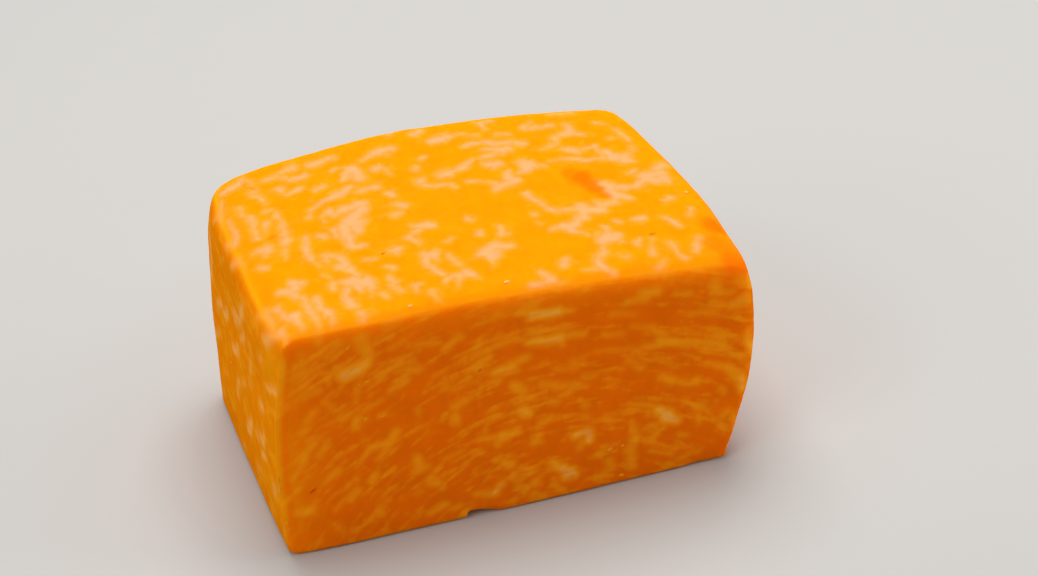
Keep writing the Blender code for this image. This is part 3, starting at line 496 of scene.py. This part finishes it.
def inside(patch, points):
    """How far inside the patch each point is, 0 to 1."""
    share = np.ones(len(points))
    for axis, start, full in patch:
        share *= smoothstep(start, full, points[:, axis])
    return share


def noise_of(points, length, shift):
    """Smooth noise of about -1 to 1 at each point, with features of that length."""
    places = points / length + shift
    return np.array([noise.noise(Vector(p)) for p in places])


def warped(points, length, reach, shift):
    """The points moved about by up to the reach."""
    moved = points.copy()
    for axis in (X, Y, Z):
        moved[:, axis] += reach * noise_of(points, length, shift + WARP_APART * axis)
    return moved


def scene_object(name, data):
    made = bpy.data.objects.new(name, data)
    bpy.context.scene.collection.objects.link(made)
    return made


# The block's skin: the CAD solid remeshed finely, smoothed, and given low relief.

def fine_copy(source):
    """The CAD solid as an object of small even faces, with no material yet."""
    copy = scene_object("marbled_cheese", source.data.copy())
    remesh = copy.modifiers.new("Remesh", "REMESH")
    remesh.mode = "VOXEL"
    remesh.voxel_size = VOXEL * MM
    graph = bpy.context.evaluated_depsgraph_get()
    mesh = bpy.data.meshes.new_from_object(copy.evaluated_get(graph))
    copy.modifiers.clear()
    copy.data = mesh
    mesh.materials.clear()
    mesh.shade_smooth()
    return copy


def points_of(mesh):
    values = np.empty(len(mesh.vertices) * 3, np.float32)
    mesh.vertices.foreach_get("co", values)
    return values.reshape(-1, 3).astype(float) / MM


def normals_at(mesh, points):
    """Puts the mesh's vertices at the points and gives their normals."""
    mesh.vertices.foreach_set("co", (points * MM).astype(np.float32).ravel())
    mesh.update()
    values = np.empty(len(points) * 3, np.float32)
    mesh.vertex_normals.foreach_get("vector", values)
    return values.reshape(-1, 3).astype(float)


def pull_of(mesh):
    """Makes a function that gives the way from each point to the middle of its neighbours."""
    ends = np.empty(len(mesh.edges) * 2, np.int32)
    mesh.edges.foreach_get("vertices", ends)
    first, second = ends.reshape(-1, 2).T
    joined = np.bincount(ends)

    def pull(points):
        way = np.empty_like(points)
        for axis in (X, Y, Z):
            along = points[:, axis]
            total = np.bincount(first, along[second], len(points))
            total += np.bincount(second, along[first], len(points))
            way[:, axis] = total / joined - along
        return way

    return pull


def smoothed(points, pull):
    """The points with the remesh's steps smoothed out, in passes in and out that keep the size."""
    for _ in range(SMOOTH_PASSES):
        for step in (SMOOTH_IN, SMOOTH_OUT):
            points = points + step * pull(points)
    return points


def squareness(normals, *way):
    """How squarely each normal faces that way, 0 to 1: the way out of an edge is diagonal."""
    return (normals @ np.array(way) / math.hypot(*way)).clip(0, 1)


def with_relief(points, normals):
    """The points with swells and dimples, and with the front left edge crisper."""
    height = SWELL_DEPTH * noise_of(points, SWELL_LENGTH, SWELL_SHIFT)
    height += DIMPLE_DEPTH * noise_of(points, DIMPLE_LENGTH, DIMPLE_SHIFT)
    height -= SINK
    height += LEFT_CRISP * smoothstep(*CRISP_SQUARENESS, squareness(normals, -1, -1, 0))
    height *= inside(ABOVE_FOOT, points)
    return points + normals * height[:, None]


def with_shifts(points, normals):
    """The points with the front right edge crisper near the foot, three places moved out, and the
    front bent back beside its left edge."""
    right_edge = smoothstep(*CRISP_SQUARENESS, squareness(normals, 1, -1, 0))
    right_edge *= inside(RIGHT_CRISP_PATCH, points)
    bend = ramp(*BEND_X, points[:, X]) ** BEND_POWER * np.clip(-normals[:, Y], 0, 1)
    moved = points.copy()
    moved[:, X] += RIGHT_CRISP_X * right_edge * normals[:, X]
    moved[:, X] -= LEFT_EDGE_SHIFT * inside(LEFT_EDGE_PATCH, points)
    moved[:, X] += BELLY_SHIFT * inside(BELLY_PATCH, points)
    moved[:, X] -= LEFT_RIM_SHIFT * inside(LEFT_RIM_PATCH, points)
    moved[:, Y] += RIGHT_CRISP_Y * right_edge * normals[:, Y]
    moved[:, Y] += BEND_DEPTH * bend
    return moved


def with_round_rims(points, pull):
    front = ROUND_FRONT * inside(ROUND_FRONT_PATCH, points)
    share = np.maximum(inside(ROUND_LEFT_PATCH, points), front)[:, None]
    for _ in range(ROUND_PASSES):
        points = points + ROUND_STEP * share * pull(points)
    return points


def shape_skin(mesh):
    """Gives the mesh its shape, and returns its points and their normals."""
    pull = pull_of(mesh)
    points = smoothed(points_of(mesh), pull)
    points = with_relief(points, normals_at(mesh, points))
    points = with_shifts(points, normals_at(mesh, points))
    points = with_round_rims(points, pull)
    points = np.clip(points, cad_low, cad_high)
    return points, normals_at(mesh, points)


# Marbling. Where the cheese is cut clean it is a field for the material to sharpen, in millimetres
# inside a pale curd. Smeared marbling is soft, so there it is paleness itself.

def stroke_depth(across, up, stroke):
    """How far inside a tapered stroke each point lies."""
    x1, y1, x2, y2, r1, r2 = stroke[:6]
    dx, dy = x2 - x1, y2 - y1
    t = np.clip(((across - x1) * dx + (up - y1) * dy) / (dx * dx + dy * dy), 0, 1)
    return r1 + (r2 - r1) * t - np.hypot(across - x1 - t * dx, up - y1 - t * dy)


def smeared(across, up, strokes, soft):
    """The paleness that soft strokes give each point. A stroke's own paleness is its last value."""
    pale = np.zeros(len(across))
    for stroke in strokes:
        edge = smoothstep(-soft, soft, stroke_depth(across, up, stroke))
        pale = np.maximum(pale, stroke[-1] * edge)
    return pale


def strewn(rng, curds, across_range, up_range, turned_about):
    """Curds of a few joined strokes each, dragged in arcs about a point."""
    strokes = []
    for _ in range(curds):
        at = np.array((rng.uniform(*across_range), rng.uniform(*up_range)))
        paleness = rng.uniform(*STREWN_PALENESS)
        for _ in range(rng.integers(*STREWN_STROKES)):
            out = at - turned_about
            turn = math.atan2(out[1], out[0]) + math.pi / 2 + rng.normal(0, STREWN_TURN)
            end = at + rng.uniform(*STREWN_LENGTH) * np.array((math.cos(turn), math.sin(turn)))
            strokes.append((*at, *end, *rng.uniform(*STREWN_HALF_WIDTH, 2), paleness))
            at = end
    return strokes


def side_shares(normals):
    """How much each point belongs to the top, front, left, right, back and foot."""
    ways = ((0, 0, 1), (0, -1, 0), (-1, 0, 0), (1, 0, 0), (0, 1, 0), (0, 0, -1))
    shares = np.clip(np.array(ways) @ normals.T, 0, 1) ** SIDE_SHARPNESS
    return shares / shares.sum(0)


def clean_field(points):
    field = np.full(len(points), FIELD_FLOOR)
    for stroke in TOP_CURDS:
        field = np.maximum(field, stroke_depth(points[:, X], points[:, Y], stroke))
    return field


def softened_paleness(points, shares):
    """The paleness of the smeared sides, each with its own strokes."""
    x, y, z = points.T
    top, front, left, right, back, foot = shares
    rng = np.random.default_rng(SEED)
    width, depth, height = cad_high - cad_low
    across, deep, up = (-width / 2, width / 2), (-depth / 2, depth / 2), (0, height)
    right_strokes = strewn(rng, RIGHT_CURDS, deep, up, (0, -RIGHT_ARC))
    back_strokes = strewn(rng, BACK_CURDS, across, up, (ARC_X, ARC_Z))
    foot_strokes = strewn(rng, FOOT_CURDS, across, deep, (0, -FOOT_ARC))
    _, loose_y, loose_z = warped(points, *LEFT_WARP).T
    pale = front * smeared(x, z, FRONT_SMEARS, FRONT_SOFTNESS)
    pale += left * smeared(loose_y, loose_z, LEFT_SMEARS, LEFT_SOFTNESS)
    pale += right * smeared(y, z, right_strokes, HIDDEN_SOFTNESS)
    pale += back * smeared(x, z, back_strokes, HIDDEN_SOFTNESS)
    pale += foot * smeared(x, y, foot_strokes, HIDDEN_SOFTNESS)
    return pale / np.maximum(1 - top, SMALLEST_SMEAR)


def rim_light_strength(points, normals, shares):
    """How much painted light each point gets for lying on a rim, as a yellower colour."""
    top, front, left = shares[:3]
    edge = EDGE_RIM * smoothstep(*RIM_SQUARENESS, squareness(normals, -1, -1, 0))
    edge *= inside(RIM_PATCH, points)
    return np.maximum(edge, RIM_PEAK * top * (TOP_LEFT_RIM * left + TOP_FRONT_RIM * front))


def edge_glow(points):
    """How near each point is to the front's left and top edges, where light shines through."""
    x, _, z = points.T
    left = ramp(*GLOW_X, x) ** GLOW_POWER
    along = ramp(cad_low[X], cad_high[X], x)
    drop = FRONT_TOP_Z - FRONT_FALL * along**FRONT_FALL_POWER - z
    return np.maximum(left, TOP_GLOW * smoothstep(*TOP_GLOW_DROP, drop))


def drag_places(points):
    """Places stretched along the arcs in which the wire dragged the cheese."""
    x, y, z = points.T
    radius = np.hypot(x - ARC_X, z - ARC_Z)
    turn = np.arctan2(z - ARC_Z, x - ARC_X)
    return np.stack((radius, turn * ARC_RADIUS / ARC_STRETCH, y / DEPTH_STRETCH), 1)


def blush_and_shade_strength(points):
    strength = np.zeros(len(points))
    for *centre, radius, most in BLUSHES_AND_CORNER_SHADE:
        gap = np.linalg.norm(points - centre, axis=1) / radius
        strength = np.maximum(strength, most * (1 - smoothstep(*BLUSH_REACH, gap)))
    return strength


def store(mesh, name, values):
    """Puts a value or a vector for each vertex on the mesh, for its material to read."""
    kind, field = ("FLOAT", "value") if values.ndim == 1 else ("FLOAT_VECTOR", "vector")
    made = mesh.attributes.new(name, kind, "POINT")
    made.data.foreach_set(field, values.astype(np.float32).ravel())


def store_marbling(mesh, points, normals):
    """Stores what the cheese's material reads, most of it as shares from 0 to 1."""
    shares = side_shares(normals)
    top, front, _, right = shares[:4]
    loose = warped(warped(points, *LARGE_WARP), *SMALL_WARP)
    store(mesh, "curd", clean_field(loose))
    store(mesh, "softened", softened_paleness(loose, shares))
    store(mesh, "smear", 1 - top)
    # Where the front and the right end get their painted shade and warm bounce light.
    store(mesh, "deep", smoothstep(*SHADED_DEEP_SHARE, front + right))
    # The blushes, and the painted shade round the front right top corner.
    store(mesh, "blush_and_shade", blush_and_shade_strength(loose))
    # Where the rims get their painted light.
    store(mesh, "rim_light", rim_light_strength(points, normals, shares))
    store(mesh, "glow", front * edge_glow(points))
    store(mesh, "dragged", smoothstep(*DRAGGED_X, points[:, X]))
    store(mesh, "drag", drag_places(points))


def on_skin(block, start, end):
    """The skin's place nearest the middle of the two ends, the axes there along the ends, across and
    out of the skin, and how far apart the ends are along the skin."""
    _, spot, normal, _ = block.closest_point_on_mesh((Vector(start) + Vector(end)) / 2 * MM)
    along = Vector(end) - Vector(start)
    along -= along.dot(normal) * normal
    axes = Matrix((along.normalized(), normal.cross(along).normalized(), normal)).transposed()
    return spot / MM, axes, along.length


class Tree:
    """Adds nodes to a material and links them. Where a node has sockets for numbers and for colours
    under one name, they go by their number in the node."""

    def __init__(self, name):
        self.material = bpy.data.materials.new(name)
        self.material.use_nodes = True
        self.nodes = self.material.node_tree.nodes
        self.links = self.material.node_tree.links
        self.shader = self.nodes["Principled BSDF"]

    def add(self, kind, inputs=(), out=0, **settings):
        """Adds a node, joins its inputs and returns one of its outputs."""
        node = self.nodes.new("ShaderNode" + kind)
        for key, value in settings.items():
            setattr(node, key, value)
        for key, value in dict(inputs).items():
            self.join(value, node.inputs[key])
        return node.outputs[out]

    def join(self, value, socket):
        """Links the value to the socket, or sets it there. A colour has red, green and blue alone."""
        if isinstance(value, bpy.types.NodeSocket):
            self.links.new(value, socket)
        elif socket.type == "RGBA":
            socket.default_value = (*value, 1.0)
        else:
            socket.default_value = value

    def set(self, **sockets):
        """Joins values or links to the shader's sockets, whose names are given with _ for a space."""
        for name, value in sockets.items():
            self.join(value, self.shader.inputs[name.replace("_", " ")])

    def math(self, operation, *values):
        return self.add("Math", dict(enumerate(values)), operation=operation)

    def total(self, first, *weighted):
        """The first value, plus each of the others times its weight."""
        for value, weight in weighted:
            first = self.math("ADD", first, self.math("MULTIPLY", value, weight))
        return first

    def vector_math(self, operation, *values, **named):
        return self.add("VectorMath", {**dict(enumerate(values)), **named}, operation=operation)

    def scaled(self, value, low, high, to_low, to_high):
        steps = {0: value, 1: low, 2: high, 3: to_low, 4: to_high}
        return self.add("MapRange", steps, interpolation_type="SMOOTHSTEP")

    def value(self, name):
        return self.add("Attribute", out="Fac", attribute_name=name)

    def place(self):
        """The place on the object, in millimetres."""
        return self.vector_math("SCALE", self.add("TexCoord", out="Object"), Scale=1 / MM)

    def blend(self, share, first, second, blend_type="MIX"):
        inputs = {0: share, 6: first, 7: second}
        settings = {"data_type": "RGBA", "blend_type": blend_type, "clamp_factor": True}
        return self.add("Mix", inputs, 2, **settings)

    def between(self, share, first, second):
        return self.add("Mix", {0: share, 2: first, 3: second}, clamp_factor=True)

    def noise(self, vector, kind):
        """Noise of that kind, with a mean of 0."""
        length, detail, roughness, distortion = NOISES[kind]
        inputs = {"Vector": vector, "Scale": 1 / length, "Detail": detail, "Roughness": roughness}
        inputs["Distortion"] = distortion
        return self.math("SUBTRACT", self.add("TexNoise", inputs, "Fac"), NOISE_MEAN)

    def bump(self, height, depth):
        return self.add("Bump", {"Height": height, "Distance": depth * MM, "Strength": 1.0})

    def scatter(self, reach):
        """Lets light into the material, as far as the reach."""
        self.set(Subsurface_Weight=SCATTER_WEIGHT, Subsurface_Radius=SCATTER_RADIUS)
        self.set(Subsurface_Scale=reach * MM)


def clean_amount(tree, place):
    """How pale the clean-cut top is: curds with lacy edges, and faint wisps between them."""
    grown = tree.math("ADD", tree.value("curd"), CURD_GROWTH)
    field = tree.total(grown, (tree.noise(place, "lace"), LACE_REACH))
    edge = tree.between(tree.value("dragged"), CLEAN_EDGE, DRAGGED_EDGE)
    curd = tree.scaled(field, tree.math("MULTIPLY", edge, -1.0), edge, 0.0, 1.0)
    curd = tree.math("MULTIPLY", curd, tree.scaled(field, *CURD_PALENESS))
    wisp = tree.scaled(tree.noise(place, "wisp"), *WISP_PALENESS)
    wisp = tree.math("MULTIPLY", wisp, tree.scaled(field, *WISP_SHARE))
    return tree.math("MAXIMUM", curd, wisp)


def smeared_amount(tree, place, drag_place, softened, deep):
    """How pale the smeared sides are: the strokes, and faint streaks along the wire's drag."""
    streaks = tree.noise(drag_place, "streak")
    blotches = tree.noise(drag_place, "blotch")
    clouds = tree.noise(place, "cloud")
    strokes = tree.math("MULTIPLY", softened, tree.scaled(streaks, *STROKE_STREAKS))
    faint = tree.total(streaks, (blotches, BLOTCH_WEIGHT), (clouds, CLOUD_WEIGHT))
    most = tree.between(deep, SIDE_STREAKS, DEEP_STREAKS)
    faint = tree.math("MULTIPLY", tree.scaled(faint, *FAINT_STREAKS), most)
    return tree.math("MAXIMUM", strokes, faint)


def mark_strength(tree, place, block):
    """How strongly the brown marks show, each a frayed ellipse in the skin."""
    fray = {"Vector": place, "Scale": 1 / FRAY_LENGTH, "Detail": FRAY_DETAIL}
    fray = tree.vector_math("SUBTRACT", tree.add("TexNoise", fray, "Color"), (NOISE_MEAN,) * 3)
    frayed = tree.vector_math("ADD", place, tree.vector_math("SCALE", fray, Scale=FRAY_REACH))
    strongest = 0.0
    for start, end, half_width, strength in MARKS:
        spot, axes, length = on_skin(block, start, end)
        inputs = {"Vector": frayed, "Location": spot, "Rotation": axes.to_euler()}
        inputs["Scale"] = (length / 2 + half_width, half_width, MARK_DEPTH)
        near = tree.add("Mapping", inputs, vector_type="TEXTURE")
        gap = tree.add("VectorMath", {0: near}, "Value", operation="LENGTH")
        mark = tree.scaled(gap, MARK_CORE, 1.0, strength, 0.0)
        strongest = tree.math("MAXIMUM", mark, strongest)
    return strongest


def orange_colour(tree, place, smear, deep):
    """The orange curd: deeper on the front and the right as painted shade, with the glow, an uneven
    tone and painted light on the rims.
    """
    # Painted shade and warm bounce light: a deeper, redder orange on the front and the right end.
    colour = tree.blend(deep, SIDE_ORANGE, SHADED_DEEP_ORANGE)
    colour = tree.blend(tree.value("glow"), colour, GLOW)
    colour = tree.blend(smear, TOP_ORANGE, colour)
    tone = tree.scaled(tree.noise(place, "tone"), *TONE)
    colour = tree.blend(1.0, colour, tone, "MULTIPLY")
    # Painted light: the rims are made yellower.
    return tree.blend(tree.value("rim_light"), colour, RIM_LIGHT)


def pale_colour(tree, clean, softened, smear, deep):
    """The pale curd, from its faint colour to its full one, in painted-shade colours on the front and
    the right end.
    """
    side_fullness = tree.scaled(softened, *SIDE_FULLNESS)
    fullness = tree.between(deep, side_fullness, tree.scaled(softened, *DEEP_FULLNESS))
    faint = tree.blend(deep, SIDE_FAINT, SHADED_DEEP_FAINT)
    full = tree.blend(deep, SIDE_PALE, SHADED_DEEP_PALE)
    on_top = tree.blend(tree.scaled(clean, *TOP_FULLNESS), TOP_FAINT, TOP_PALE)
    return tree.blend(smear, on_top, tree.blend(fullness, faint, full))


def cheese_material(block):
    tree = Tree("marbled_curd")
    place = tree.place()
    drag_place = tree.add("Attribute", out="Vector", attribute_name="drag")
    smear, deep, softened = tree.value("smear"), tree.value("deep"), tree.value("softened")
    marks = mark_strength(tree, place, block)
    clean = clean_amount(tree, place)
    amount = tree.between(smear, clean, smeared_amount(tree, place, drag_place, softened, deep))

    orange = orange_colour(tree, place, smear, deep)
    colour = tree.blend(amount, orange, pale_colour(tree, clean, softened, smear, deep))
    # Blushes, and painted shade and shine-through light round the front right top corner.
    colour = tree.blend(tree.value("blush_and_shade"), colour, BLUSH_AND_SHADE)
    mark_tint = tree.blend(smear, TOP_MARK, SIDE_MARK)
    colour = tree.blend(marks, colour, mark_tint, "MULTIPLY")

    grain = tree.noise(place, "grain")
    rough = tree.between(amount, ORANGE_ROUGHNESS, PALE_ROUGHNESS)
    rough = tree.total(rough, (grain, GRAIN_ROUGHNESS))

    pores = tree.math("MULTIPLY", tree.noise(place, "pore"), PORE_HEIGHT)
    lines = tree.math("MULTIPLY", tree.noise(drag_place, "line"), smear)
    height = tree.total(
        pores, (grain, GRAIN_HEIGHT), (lines, LINE_HEIGHT), (amount, PALE_HEIGHT), (marks, MARK_HEIGHT)
    )
    tree.set(Base_Color=colour, Roughness=rough, Normal=tree.bump(height, SKIN_BUMP))
    tree.set(IOR=CHEESE_IOR, Specular_IOR_Level=CHEESE_SPECULAR)
    tree.scatter(CHEESE_SCATTER)
    return tree.material


block = fine_copy(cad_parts["cheese_brick"])
store_marbling(block.data, *shape_skin(block.data))
block.data.materials.append(cheese_material(block))
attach(block, "root")
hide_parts("cheese_brick")


def crumb_shapes(block):
    """One mesh of small rough lumps half sunk in the skin, with how pale each is as an attribute."""
    shapes = bmesh.new()
    pale = shapes.verts.layers.float.new("pale")
    for start, end, width, height, paleness in CRUMBS:
        spot, axes, length = on_skin(block, start, end)
        # Each lump starts as a ball of diameter 1.
        lump = bmesh.ops.create_icosphere(shapes, subdivisions=CRUMB_DETAIL, radius=0.5)["verts"]
        for vert in lump:
            vert[pale] = paleness
            rough = 1 + CRUMB_UNEVEN * noise.noise(vert.co * CRUMB_UNEVEN_SCALE + Vector(start))
            sized = Vector((vert.co.x * length, vert.co.y * width, vert.co.z * height)) * rough
            vert.co = (spot + axes @ sized) * MM
    mesh = bpy.data.meshes.new("wire_crumbs")
    shapes.to_mesh(mesh)
    shapes.free()
    mesh.shade_smooth()
    return mesh


def crumb_material():
    tree = Tree("crumb")
    grain = tree.noise(tree.place(), "crumb")
    share = tree.total(tree.value("pale"), (grain, CRUMB_MOTTLE))
    colour = tree.blend(share, CRUMB_ORANGE, CRUMB_PEACH)
    tree.set(Base_Color=colour, Normal=tree.bump(grain, CRUMB_BUMP))
    tree.set(Roughness=CRUMB_ROUGHNESS, Specular_IOR_Level=CHEESE_SPECULAR)
    tree.scatter(CRUMB_SCATTER)
    return tree.material


crumbs = scene_object("wire_crumbs", crumb_shapes(block))
crumbs.data.materials.append(crumb_material())
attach(crumbs, "root")


def area_light(name, place, aim, side, power):
    lamp = bpy.data.lights.new(name, "AREA")
    lamp.shape = "SQUARE"
    lamp.size = side * MM
    lamp.energy = power
    held = scene_object(name, lamp)
    held.location = Vector(place) * MM
    held.rotation_euler = (Vector(aim) - Vector(place)).to_track_quat("-Z", "Y").to_euler()


def soft_sky():
    world = bpy.data.worlds.new("studio")
    world.use_nodes = True
    background = world.node_tree.nodes["Background"]
    background.inputs["Color"].default_value = (1, 1, 1, 1)
    background.inputs["Strength"].default_value = SKY_STRENGTH
    bpy.context.scene.world = world


def plain_floor():
    half = FLOOR_SIDE / 2 * MM
    corners = [(-half, -half, 0), (half, -half, 0), (half, half, 0), (-half, half, 0)]
    mesh = bpy.data.meshes.new("floor")
    mesh.from_pydata(corners, [], [(0, 1, 2, 3)])
    tree = Tree("floor")
    tree.set(Base_Color=FLOOR_COLOUR, Roughness=FLOOR_ROUGHNESS, Specular_IOR_Level=FLOOR_SPECULAR)
    mesh.materials.append(tree.material)
    return scene_object("floor", mesh)


def main_camera():
    camera = scene_object("camera", bpy.data.cameras.new("camera"))
    camera.data.lens = CAMERA_LENS
    camera.data.sensor_width = CAMERA_SENSOR
    camera.data.clip_start = CAMERA_CLIP * MM
    turn = Matrix.Rotation(math.radians(CAMERA_HEADING), 4, "Z")
    turn = turn @ Matrix.Rotation(math.radians(CAMERA_PITCH), 4, "X")
    turn = turn @ Matrix.Rotation(math.radians(CAMERA_ROLL), 4, "Z")
    camera.matrix_world = Matrix.Translation(Vector(CAMERA_PLACE) * MM) @ turn
    return camera


for name, lamp in LAMPS.items():
    area_light(name, *lamp)
soft_sky()
plain_floor()
bpy.context.scene.camera = main_camera()
bpy.context.scene.view_settings.view_transform = "Standard"
bpy.context.scene.view_settings.look = "None"
